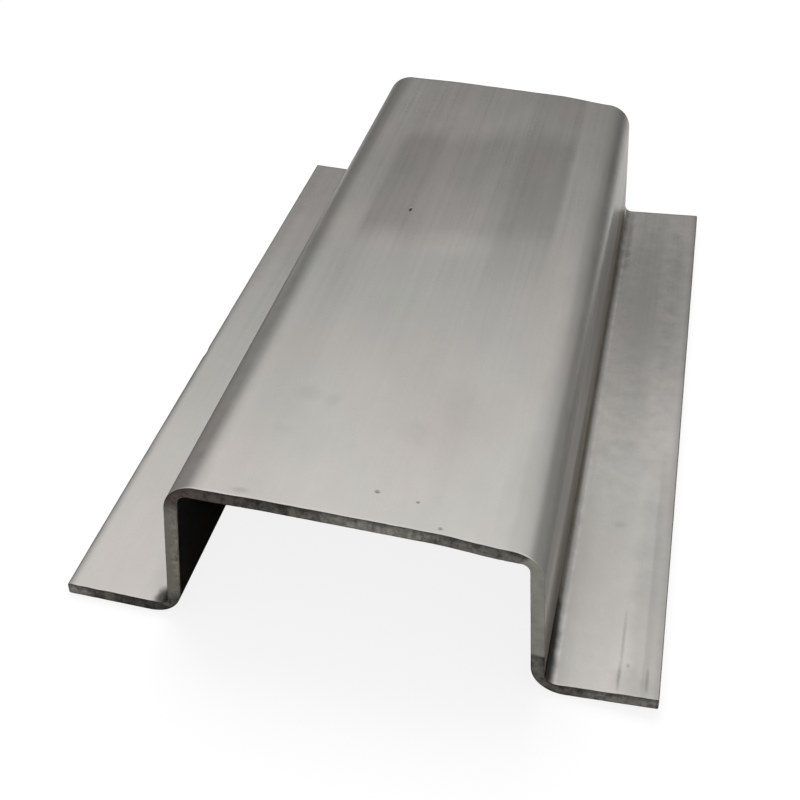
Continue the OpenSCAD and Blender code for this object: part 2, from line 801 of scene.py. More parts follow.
    def _droop(self, g: Graph, sheet: Output, arcs: dict[str, Output]) -> Output:
        """Lets the crown fall away a little towards its bends, as a real bent crown does.

        Args:
            g: the tree.
            sheet: the bent sheet.
            arcs: the length of sheet in each bend, by its name.

        Returns:
            The sheet, lowered round its shoulders and unchanged at its feet.
        """
        value = g.source
        blank = g.add(
            "GeometryNodeInputNamedAttribute", {"Name": BLANK}, data_type="FLOAT_VECTOR"
        )
        across = g.split(blank.outputs[0])[0]
        falls = []
        for flank in self.section.flanks:
            side = flank.side.title
            out = g.times(across, float(flank.side.value))
            shoulder = g.math("ADD", value[f"{side} Crown"], arcs[f"{side} Shoulder"])
            fall = g.ramp(out, self.droop_start, value[f"{side} Crown"], smooth=True)
            stop = g.math("MULTIPLY_ADD", value[f"{side} Web"], self.droop_stop, shoulder)
            back = g.ramp(out, shoulder, stop, 1.0, 0.0, smooth=True)
            falls.append(g.times(fall, back, value[f"{side} Droop"]))
        offset = g.join(0.0, 0.0, g.times(g.total(*falls), -1.0))
        return g.add("GeometryNodeSetPosition", {"Geometry": sheet, "Offset": offset}).outputs[0]

    def _tree(self, brake: PressBrake) -> Graph:
        """Builds the tree that makes the whole piece.

        Args:
            brake: the groups that age and bend the blank.

        Returns:
            The tree.
        """
        sockets = [Socket("Geometry", GEOMETRY)]
        sockets += [Socket(name, kind) for name, (kind, _) in self._inputs().items()]
        sockets += [Socket(name, "NodeSocketMaterial") for name in ("Faces", "Ends")]
        g = Graph.group("hat_channel_shape", Kind.SHAPE, sockets, sockets[:1])
        value = g.source
        radius = value["Middle Radius"]
        arcs = {
            f"{side.title} {bend}": g.times(radius, value[f"{side.title} {bend} Turn"])
            for side in Side
            for bend in ("Shoulder", "Foot")
        }
        sheet = self._blank(g, arcs)
        wear = {name: value[name] for name in ("Unevenness", "Tear", "Nicks", "Seed")}
        sheet = g.use(brake.wear, {"Geometry": sheet, **wear}).outputs[0]
        for flank in self.section.flanks:
            side = flank.side.title
            shoulder = value[f"{side} Crown"]
            foot = g.total(shoulder, arcs[f"{side} Shoulder"], value[f"{side} Web"])
            for bend, start, way in (("Foot", foot, Way.UP), ("Shoulder", shoulder, Way.DOWN)):
                feeds = {
                    "Geometry": sheet,
                    "Side": float(flank.side.value),
                    "Way": float(way.value),
                    "Start": start,
                    "Radius": radius,
                    "Turn": value[f"{side} {bend} Turn"],
                    "Thickness": value["Thickness"],
                    "Tight Radius": value[f"{side} {bend} Inside"],
                }
                sheet = g.use(brake.bend, feeds).outputs[0]
        sheet = self._droop(g, sheet, arcs)
        lift = g.math("MULTIPLY_ADD", value["Thickness"], -0.5, value["Height"])
        moved = {"Geometry": sheet, "Offset": g.join(value["Shift"], 0.0, lift)}
        sheet = g.add("GeometryNodeSetPosition", moved).outputs[0]
        sheet = g.add("GeometryNodeSetShadeSmooth", {"Geometry": sheet}).outputs[0]
        sheet = g.add("GeometryNodeRealizeInstances", {"Geometry": sheet}).outputs[0]
        coated = {"Geometry": sheet, "Material": value["Faces"]}
        sheet = g.add("GeometryNodeSetMaterial", coated).outputs[0]
        facing = g.math("ABSOLUTE", g.split(g.add("GeometryNodeInputNormal").outputs[0])[1])
        ask = {0: facing, 1: self.end_facing}
        cut = g.add("FunctionNodeCompare", ask, operation="GREATER_THAN").outputs[0]
        ends = {"Geometry": sheet, "Selection": cut, "Material": value["Ends"]}
        g.feed(g.sink["Geometry"], g.add("GeometryNodeSetMaterial", ends).outputs[0])
        return g

    def build(self, faces: bpy.types.Material, ends: bpy.types.Material) -> bpy.types.Object:
        """Makes the piece as a plain mesh and ties it to the CAD node.

        Args:
            faces: the finish of the sheet's faces and slit edges.
            ends: the finish of the two cut ends.

        Returns:
            The finished piece.
        """
        graph = self._tree(PressBrake())
        seed = bpy.data.objects.new(f"{self.name}_seed", bpy.data.meshes.new(f"{self.name}_seed"))
        bpy.context.scene.collection.objects.link(seed)
        modifier = seed.modifiers.new("shape", "NODES")
        modifier.node_group = graph.tree
        values = {name: value for name, (_, value) in self._inputs().items()}
        values |= {"Faces": faces, "Ends": ends}
        for item in graph.tree.interface.items_tree:
            if item.item_type == "SOCKET" and item.in_out == "INPUT" and item.name in values:
                modifier[item.identifier] = values[item.name]
        graph_view = bpy.context.evaluated_depsgraph_get()
        mesh = bpy.data.meshes.new_from_object(seed.evaluated_get(graph_view))
        mesh.name = self.name
        bpy.data.objects.remove(seed)
        piece = bpy.data.objects.new(self.name, mesh)
        bpy.context.scene.collection.objects.link(piece)
        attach(piece, "root")
        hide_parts("hat_channel")
        log.info("%s: %d faces, %d vertices", piece.name, len(mesh.polygons), len(mesh.vertices))
        return piece


class Effects:
    """The shader node groups that the finishes are put together from."""

    GRAIN_DRAWN = (1.0, 0.016, 1.0)
    DRIFT_LUMPS = 70.0
    RIM_LUMPS = 420.0

    def __init__(self) -> None:
        """Builds every group once."""
        self.cloud = self._cloud()
        self.drift = self._drift()
        self.grain = self._grain()
        self.band = self._band()
        self.spot = self._spot()
        self.rim = self._rim()

    @staticmethod
    def _cloud() -> Graph:
        """Builds a soft, uneven tone that lies around 1 and may be drawn out along the sheet.

        Returns:
            The group.
        """
        inputs = [
            Socket("Place", VECTOR),
            Socket("Size", default=10 * MM),
            Socket("Stretch", default=1.0),
            Socket("Amount", default=0.05),
            Socket("Seed", default=0.0),
        ]
        g = Graph.group("cloud_tone", Kind.SHADER, inputs, [Socket("Tone")])
        squeeze = g.join(1.0, g.math("DIVIDE", 1.0, g.source["Stretch"]), 1.0)
        place = g.vector("ADD", g.source["Place"], g.join(g.source["Seed"], 0.0, 0.0))
        scale = g.math("DIVIDE", 1.0, g.source["Size"])
        lumps = g.noise(g.vector("MULTIPLY", place, squeeze), scale, 3.0)
        swing = g.math("MULTIPLY_ADD", lumps, 3.0, -1.5)
        g.feed(g.sink["Tone"], g.math("MULTIPLY_ADD", swing, g.source["Amount"], 1.0))
        return g

    def _drift(self) -> Graph:
        """Builds a slow wander along a distance.

        Returns:
            The group, whose wander goes from about -1 to 1.
        """
        inputs = [Socket("Distance", default=0.0)]
        g = Graph.group("slow_drift", Kind.SHADER, inputs, [Socket("Wander")])
        lumps = g.noise(g.join(0.0, g.source["Distance"], 0.0), self.DRIFT_LUMPS, 3.0, 0.55)
        g.feed(g.sink["Wander"], g.math("MULTIPLY_ADD", lumps, 3.0, -1.5))
        return g

    def _grain(self) -> Graph:
        """Builds the fine lines that rolling leaves along the sheet.

        Returns:
            The group, whose lines lie between 0 and 1.
        """
        inputs = [Socket("Place", VECTOR), Socket("Pitch", default=1.1 * MM)]
        g = Graph.group("rolled_grain", Kind.SHADER, inputs, [Socket("Line")])
        pace = g.math("DIVIDE", 1.0, g.source["Pitch"])
        drawn = g.vector("MULTIPLY", g.source["Place"], self.GRAIN_DRAWN)
        lines = g.noise(drawn, pace, 1.0)
        g.feed(g.sink["Line"], g.ramp(lines, 0.3, 0.7))
        return g

    @staticmethod
    def _band() -> Graph:
        """Builds a long band whose two soft edges wander.

        Returns:
            The group, whose mask is 1 inside the band.
        """
        inputs = [
            Socket("Across", default=0.0),
            Socket("Drift", default=0.0),
            Socket("Start", default=0.0),
            Socket("Stop", default=10 * MM),
            Socket("Soft", default=MM),
            Socket("Wander", default=0.0),
        ]
        g = Graph.group("wandering_band", Kind.SHADER, inputs, [Socket("Mask")])
        across, drift, start, stop, soft, wander = (g.source[item.name] for item in inputs)
        moved = g.math("MULTIPLY_ADD", drift, wander, across)
        sides = []
        for middle, outer, inner in ((start, 0.0, 1.0), (stop, 1.0, 0.0)):
            low, high = (g.math("MULTIPLY_ADD", soft, share, middle) for share in (-0.5, 0.5))
            sides.append(g.ramp(moved, low, high, outer, inner, smooth=True))
        g.feed(g.sink["Mask"], g.times(*sides))
        return g

    @staticmethod
    def _spot() -> Graph:
        """Builds one oval mark with a soft, uneven edge.

        Returns:
            The group, whose mask is 1 in the middle of the mark.
        """
        inputs = [
            Socket("Place", VECTOR),
            Socket("Centre", VECTOR),
            Socket("Reach", VECTOR, default=(MM, MM, MM)),
            Socket("Soft", default=0.8),
            Socket("Ragged", default=0.2),
            Socket("Wobble", default=0.0),
        ]
        g = Graph.group("oval_spot", Kind.SHADER, inputs, [Socket("Mask")])
        away = g.vector("SUBTRACT", g.source["Place"], g.source["Centre"])
        far = g.vector("LENGTH", g.vector("DIVIDE", away, g.source["Reach"]))
        far = g.math("MULTIPLY_ADD", g.source["Wobble"], g.source["Ragged"], far)
        inner = g.math("SUBTRACT", 1.0, g.source["Soft"])
        g.feed(g.sink["Mask"], g.ramp(far, inner, 1.0, 1.0, 0.0, smooth=True))
        return g

    def _rim(self) -> Graph:
        """Builds a thin broken line beside an edge.

        Returns:
            The group, whose mask is 1 at the edge.
        """
        inputs = [
            Socket("Place", VECTOR),
            Socket("Distance", default=0.0),
            Socket("Width", default=0.5 * MM),
        ]
        g = Graph.group("edge_line", Kind.SHADER, inputs, [Socket("Mask")])
        lumps = g.noise(g.source["Place"], self.RIM_LUMPS, 2.0, 0.6)
        width = g.times(g.source["Width"], g.ramp(lumps, 0.3, 0.7, 0.25, 1.3))
        g.feed(g.sink["Mask"], g.ramp(g.source["Distance"], 0.0, width, 1.0, 0.0, smooth=True))
        return g


@dataclass(frozen=True)
class Mark:
    """One oval mark on the upper face of the flat sheet, in millimetres.

    `wide` and `long` are measured from its middle. `dark` is the share of the tone that it takes
    away, or adds where it is negative.
    """

    across: float
    along: float
    wide: float
    long: float
    dark: float
    soft: float = 0.9
    ragged: float = 0.2

    def mask(
        self, g: Graph, effects: Effects, place: Value, wobble: Value, top: float
    ) -> Output:
        """Adds the mark to a material.

        Args:
            g: the material's tree.
            effects: the shared groups.
            place: the place on the blank.
            wobble: how far the mark's edge strays, from -1 to 1.
            top: height of the upper face above the middle of the sheet.

        Returns:
            The mark's mask.
        """
        feeds = {
            "Place": place,
            "Centre": (self.across * MM, self.along * MM, top),
            "Reach": (self.wide * MM, self.long * MM, MM),
            "Soft": self.soft,
            "Ragged": self.ragged,
            "Wobble": wobble,
        }
        return g.use(effects.spot, feeds).outputs[0]


@dataclass(frozen=True)
class Cloud:
    """One layer of uneven tone: the size of its lumps in millimetres, stretch and strength."""

    size: float
    stretch: float
    amount: float
    seed: float

    def tone(self, g: Graph, effects: Effects, place: Value) -> Output:
        """Adds the layer to a material.

        Args:
            g: the material's tree.
            effects: the shared groups.
            place: the place on the blank.

        Returns:
            The layer's tone, which lies around 1.
        """
        feeds = {
            "Place": place,
            "Size": self.size * MM,
            "Stretch": self.stretch,
            "Amount": self.amount,
            "Seed": self.seed,
        }
        return g.use(effects.cloud, feeds).outputs[0]


@dataclass(frozen=True)
class Band:
    """A long band across a distance, in millimetres, with two soft edges that wander."""

    start: float
    stop: float
    soft: float
    wander: float

    def mask(self, g: Graph, effects: Effects, across: Value, drift: Value) -> Output:
        """Adds the band to a material.

        Args:
            g: the material's tree.
            effects: the shared groups.
            across: the distance that the band is laid out on.
            drift: how its edges wander, from -1 to 1.

        Returns:
            The band's mask.
        """
        feeds = {
            "Across": across,
            "Drift": drift,
            "Start": self.start * MM,
            "Stop": self.stop * MM,
            "Soft": self.soft * MM,
            "Wander": self.wander * MM,
        }
        return g.use(effects.band, feeds).outputs[0]


@dataclass(frozen=True)
class Strip:
    """A band that starts and stops near two lines of the blank, on one side of it.

    `before` and `after` are how far beyond its line each edge lies, outwards, in millimetres.
    """

    first: Line
    before: float
    last: Line
    after: float
    soft: float
    wander: float
    dark: float = 0.0

    def band(self, run: Run) -> Band:
        """Works out the band on one side of the blank.

        Args:
            run: where that side's lines are.

        Returns:
            The band, measured outwards from the middle of the crown.
        """
        start = getattr(run, self.first.value) / MM + self.before
        stop = getattr(run, self.last.value) / MM + self.after
        return Band(start, stop, self.soft, self.wander)


@dataclass(frozen=True)
class Patch:
    """One four-sided patch, where a band across the sheet crosses one along it.

    `dark` is the share of the tone that it takes away, or adds where it is negative.
    """

    wide: Band
    long: Band
    dark: float


@dataclass(frozen=True)
class Finish:
    """What every finish of the piece knows: its sheet and the shared effects."""

    section: Section
    effects: Effects

    def start(self, name: str) -> tuple[bpy.types.Material, Graph, bpy.types.Node]:
        """Starts a material.

        Args:
            name: the material's name.

        Returns:
            The material, its graph and its Principled shader.
        """
        made = bpy.data.materials.new(name)
        made.use_nodes = True
        return made, Graph(made.node_tree), made.node_tree.nodes["Principled BSDF"]

    def place(self, g: Graph) -> Output:
        """Reads the place on the flat blank."""
        return g.add("ShaderNodeAttribute", attribute_name=BLANK).outputs["Vector"]

    def drift(self, g: Graph, along: Value) -> Output:
        """Adds a slow wander along a distance, from about -1 to 1."""
        return g.use(self.effects.drift, {"Distance": along}).outputs[0]

    def dent(self, g: Graph, shader: bpy.types.Node, height: Value) -> None:
        """Gives a shader a relief.

        Args:
            g: the material's tree.
            shader: the shader.
            height: how far the surface stands out, in metres.
        """
        feeds = {"Height": height, "Strength": 1.0, "Distance": 1.0}
        g.feed(shader.inputs["Normal"], g.add("ShaderNodeBump", feeds).outputs[0])

    def dim(self, g: Graph, tone: Value, *layers: tuple[Value, float]) -> Output:
        """Darkens a tone under masks.

        Args:
            g: the material's tree.
            tone: the tone so far.
            layers: each mask with the share it takes away, or adds where negative.

        Returns:
            The new tone.
        """
        for mask, share in layers:
            tone = g.times(tone, g.math("MULTIPLY_ADD", mask, -share, 1.0))
        return tone


@dataclass(frozen=True)
class MillSteel(Finish):
    """Bare mill finish: soft grey steel with a rolled grain, a cloudy tone and handling marks.

    `lean` is how much sooner a patch ends for each metre across the sheet. `grain_tone` is the
    tone between and on the grain's lines, and `rubbed_matt` how much duller they and the scuffs
    are. `slit_dark` is the share of the tone that the slit line takes away. Besides handling marks,
    many of its marks, its strips and its patches paint shade, highlights and reflections.
    """

    warm: tuple = (0.640, 0.600, 0.572)
    cool: tuple = (0.588, 0.590, 0.553)
    brown: tuple = (0.640, 0.585, 0.500)
    roughness: float = 0.27
    edge_tint: float = 0.5
    pit_depth: float = 0.12 * MM
    lean: float = -0.25
    grain_tone: tuple[float, float] = (0.982, 1.015)
    rubbed_matt: float = 0.03
    wobble_lumps: float = 260.0
    slit_width: float = 2.2 * MM
    slit_lumps: float = 300.0
    slit_dark: float = 0.48
    lumps: tuple[Cloud, ...] = (
        Cloud(34, 1.8, 0.055, seed=0.31),
        Cloud(11, 3.5, 0.030, seed=0.77),
        Cloud(2.6, 1.4, 0.018, seed=0.12),
    )
    hue: Cloud = Cloud(24, 1.6, 0.6, seed=0.53)
    matt: Cloud = Cloud(7, 2.0, 0.10, seed=0.9)
    # Painted light: the web and foot strips lighten these, and the bend strip darkens the shoulder
    # bend.
    web: Strip = Strip(Line.SHOULDER, -4.5, Line.FOOT, -4.5, 3, 0.5, dark=-0.05)
    # Painted shade with a brown grime tint in the crease above each foot.
    dirt: Strip = Strip(Line.WEB, -9.5, Line.FOOT, -5, 2.4, 1.3, dark=0.26)
    foot: Strip = Strip(Line.WEB, -1, Line.FOOT, -5.2, 2.2, 0.5, dark=-0.06)
    bend: Strip = Strip(Line.CROWN, -0.5, Line.SHOULDER, 0, 2, 1.2, dark=0.08)
    marks: tuple[Mark, ...] = (
        # Smudges on the crown, then broader lighter and darker zones
        Mark(-18, -65, 4.5, 4, 0.07),
        Mark(-12.5, -66, 2.5, 3, 0.06),
        Mark(7, -72, 5, 5, 0.05),
        Mark(-20, -78, 4, 3, 0.04),
        Mark(0, 3, 13, 10, -0.05, ragged=0.1),
        Mark(-2, 18, 11, 36, -0.06, ragged=0.1),
        Mark(4, 20, 10, 10, -0.05, ragged=0.1),
        Mark(16, -64, 14, 17, 0.07, ragged=0.1),
        Mark(30.5, -84, 5, 26, 0.08, ragged=0.1),
        Mark(-22.7, -98, 2.4, 1.1, 0.16),
        # Left shoulder: painted reflection, lighter at the front and darker at the back
        Mark(-35.5, -70, 3.2, 90, -0.25, soft=0.9),
        Mark(-37.4, 96, 2.3, 72, 0.30, soft=0.6, ragged=0.1),
        # Left lip: painted shade over its back half and outer edge, then a smudge at its front
        # corner with a soft halo
        Mark(-93, 60, 3.5, 70, 0.16, ragged=0.1),
        Mark(-84, 70, 12, 70, 0.12, ragged=0.1),
        Mark(-71.6, -98.8, 3.8, 5.2, 0.84, soft=0.7),
        Mark(-74.5, -93, 4.5, 11, 0.09),
        # Right shoulder: painted reflection, a dark line at its top and lighter bands below it
        Mark(41.5, -15, 5.5, 62, -0.20),
        Mark(39.4, -22, 1.6, 110, -0.16),
        Mark(37.5, 10, 1.7, 110, 0.24),
        # Right web: painted shade, heaviest low at the front, with painted highlights beside it and
        # along the top of the foot
        Mark(62, -88, 5.5, 34, 0.26, soft=0.8, ragged=0.08),
        Mark(60.5, -92, 7.5, 90, 0.33, soft=0.30, ragged=0.04),
        Mark(50, -92, 5.0, 30, -0.25, soft=0.9),
        Mark(62.5, -20, 2.7, 46, 0.10),
        Mark(61.5, 60, 3.2, 26, 0.14),
        Mark(68.6, 0, 2.1, 92, -0.34),
        Mark(58, -48, 3, 22, 0.12),
        # Right foot: painted shade in the crease, darkest at the front
        Mark(70.4, -98, 3.4, 30, 0.58, soft=0.6, ragged=0.1),
        Mark(72.0, -10, 2.0, 150, 0.24, soft=0.6, ragged=0.1),
        Mark(70.6, -100, 2.6, 32, 0.55, soft=0.6, ragged=0.1),
        Mark(73.5, 85, 2.6, 36, 0.30, soft=0.8),
        Mark(72.3, -72, 1.9, 44, 0.20),
        Mark(71.8, 58, 1.7, 34, 0.14),
        # Right lip: a smudge and a short dark line, broad painted shade over the lip, darker bands
        # along its outer edge and a mark at its front
        Mark(83, -50, 3, 1.6, 0.12),
        Mark(92.5, -95, 0.5, 5, 0.25, soft=0.7),
        Mark(82, 40, 15, 90, 0.36, ragged=0.1),
        Mark(80, -60, 16, 60, 0.15, ragged=0.1),
        Mark(91, -75, 5.0, 70, 0.16, ragged=0.1),
        Mark(92, 40, 6.0, 80, 0.20, ragged=0.1),
        Mark(88.5, -97, 5.5, 6.5, 0.13),
    )
    # Painted reflection: darker and lighter zones on the crown. The last patch darkens the front of
    # the right lip.
    patches: tuple[Patch, ...] = (
        Patch(Band(-25, 25, 2.4, 0.6), Band(8, 66, 16, 4), 0.15),
        Patch(Band(10.5, 25, 3, 0.6), Band(-12, 120, 26, 4), 0.105),
        Patch(Band(-25, -13, 3.5, 0.6), Band(10, 66, 14, 4), 0.10),
        Patch(Band(-30.5, -24.5, 2, 0.6), Band(76, 120, 10, 4), -0.07),
        Patch(Band(-31, -25, 2.5, 0.6), Band(20, 64, 16, 4), 0.06),
        Patch(Band(91.5, 100, 0.9, 0.6), Band(-150, -50, 26, 4), 0.15),
    )
    pits: tuple[Mark, ...] = (
        Mark(-14, 17.6, 0.42, 1.1, 0.8, soft=0.5),
        Mark(3.5, -91.4, 0.7, 0.65, 0.42, soft=0.9, ragged=0.4),
        Mark(12, -92.3, 0.5, 0.5, 0.38, soft=0.9, ragged=0.4),
        Mark(17.7, -98.2, 0.7, 0.6, 0.40, soft=0.9, ragged=0.4),
        Mark(86.8, -86, 0.6, 15, 0.22, soft=0.9, ragged=0.12),
        Mark(86.6, -95.5, 0.6, 5.5, 0.30, soft=0.9),
        Mark(88.3, -92, 0.7, 0.9, 0.25, soft=0.9),
    )

    def material(self) -> bpy.types.Material:
        """Makes the finish's material.

        Returns:
            The material.
        """
        made, g, shader = self.start("mill_steel_face")
        place = self.place(g)
        across, along, through = g.split(place)
        upper = g.ramp(through, 0.0, 0.3 * MM)
        wobble = g.noise(place, self.wobble_lumps, 2.0)
        wobble = g.math("MULTIPLY_ADD", wobble, 4.0, -2.0)
        marks = self._spots(g, self.marks, place, wobble)
        pits = self._spots(g, self.pits, place, wobble)
        tone = g.times(1.0, *(cloud.tone(g, self.effects, place) for cloud in self.lumps))
        line = g.use(self.effects.grain, {"Place": place}).outputs[0]
        tone = g.times(tone, g.ramp(line, 0.0, 1.0, *self.grain_tone))
        drift = self.drift(g, along)
        painted_bend_shade, scuff, dirt = self._bends(g, across, drift, upper)
        patches = self._patches(g, across, along, drift, upper)
        slit_line = self._slit_line(g, place, across, along)
        # Darkens the tone under marks, pits and patches, and paints shade and light on the bends,
        # webs and feet.
        tone = self.dim(g, tone, *marks, *pits, *patches, (painted_bend_shade, 1.0), (slit_line, self.slit_dark))
        steel = g.ramp(self.hue.tone(g, self.effects, place), 0.6, 1.4)
        steel = g.tint(steel, self.warm, self.cool)
        # Browns the crease above each foot, where painted shade also darkens the tone.
        steel = g.tint(dirt, steel, self.brown)
        steel = g.tint(1.0, steel, g.join(tone, tone, tone), "MULTIPLY")
        g.feed(shader.inputs["Base Color"], steel)
        rough = g.times(self.matt.tone(g, self.effects, place), self.roughness)
        rough = g.total(rough, *(g.times(mask, self.rubbed_matt) for mask in (line, scuff)))
        g.feed(shader.inputs["Roughness"], rough)
        g.feed(shader.inputs["Metallic"], 1.0)
        g.feed(shader.inputs["Specular Tint"], (*(self.edge_tint,) * 3, 1.0))
        depths = (g.times(mask, -share * self.pit_depth) for mask, share in pits)
        self.dent(g, shader, g.total(*depths))
        return made

    def _spots(
        self, g: Graph, marks: tuple[Mark, ...], place: Value, wobble: Value
    ) -> list[tuple[Output, float]]:
        """Adds oval marks.

        Args:
            g: the material's tree.
            marks: the marks.
            place: the place on the blank.
            wobble: how far the marks' edges stray.

        Returns:
            Each mark's mask with the share of the tone that it takes away.
        """
        top = self.section.thickness / 2
        return [(mark.mask(g, self.effects, place, wobble, top), mark.dark) for mark in marks]

    def _patches(
        self, g: Graph, across: Value, along: Value, drift: Value, upper: Value
    ) -> list[tuple[Output, float]]:
        """Adds four-sided patches: painted reflection on the crown, and a darker band on the right
        lip.

        Args:
            g: the material's tree.
            across: distance across the blank.
            along: distance along the blank.
            drift: how the patches' long edges wander.
            upper: 1 on the upper face.

        Returns:
            Each patch's mask with the share of the tone that it takes away.
        """
        slanted = g.math("MULTIPLY_ADD", across, self.lean, along)
        sway = self.drift(g, across)
        masks = []
        for patch in self.patches:
            wide = patch.wide.mask(g, self.effects, across, drift)
            long = patch.long.mask(g, self.effects, slanted, sway)
            masks.append((g.times(wide, long, upper), patch.dark))
        return masks

    def _slit_line(self, g: Graph, place: Value, across: Value, along: Value) -> Output:
        """Adds the dull, broken line that the slitting blades left along the two lips.

        Args:
            g: the material's tree.
            place: the place on the blank.
            across: distance across the blank.
            along: distance along the blank.

        Returns:
            Where the line is, weaker at the back of the left lip.
        """
        slits = [self.section.run(flank).slit for flank in self.section.flanks]
        far = g.math("SUBTRACT", g.ramp(across, 0.0, MM, *slits), g.math("ABSOLUTE", across))
        line = g.ramp(far, 0.0, self.slit_width, 1.0, 0.0, smooth=True)
        drawn = g.vector("MULTIPLY", place, (1.0, 0.3, 1.0))
        broken = g.ramp(g.noise(drawn, self.slit_lumps, 2.0, 0.6), 0.3, 0.7, 0.7, 1.1)
        left = g.ramp(along, -20 * MM, 40 * MM, 1.0, 0.0)
        right = g.ramp(along, -50 * MM, 0.0, 0.5, 0.65)
        return g.times(line, broken, g.ramp(across, 0.0, MM, left, right))

    def _bends(self, g: Graph, across: Value, drift: Value, upper: Value) -> tuple[Value, ...]:
        """Adds painted shade and light to the bends, webs and feet, and browns their creases.

        Args:
            g: the material's tree.
            across: distance across the blank.
            drift: how the painted bands' edges wander.
            upper: 1 on the upper face.

        Returns:
            The painted shade and light, the scuffed places and the browned crease.
        """
        painted_bend_shades, scuffs, dirt = [], [], []
        for flank in self.section.flanks:
            run = self.section.run(flank)
            out = g.times(across, float(flank.side.value))
            strips = (self.web, self.dirt, self.foot, self.bend)
            masks = [s.band(run).mask(g, self.effects, out, drift) for s in strips]
            web, low, _, bend = masks
            painted_bend_shades.append(g.total(*(g.times(m, s.dark) for m, s in zip(masks, strips))))
            scuffs.append(g.total(web, bend))
            dirt.append(low)
        painted_bend_shade = g.times(g.total(*painted_bend_shades), upper)
        return painted_bend_shade, g.math("ADD", *scuffs, clamp=True), g.math("ADD", *dirt, clamp=True)


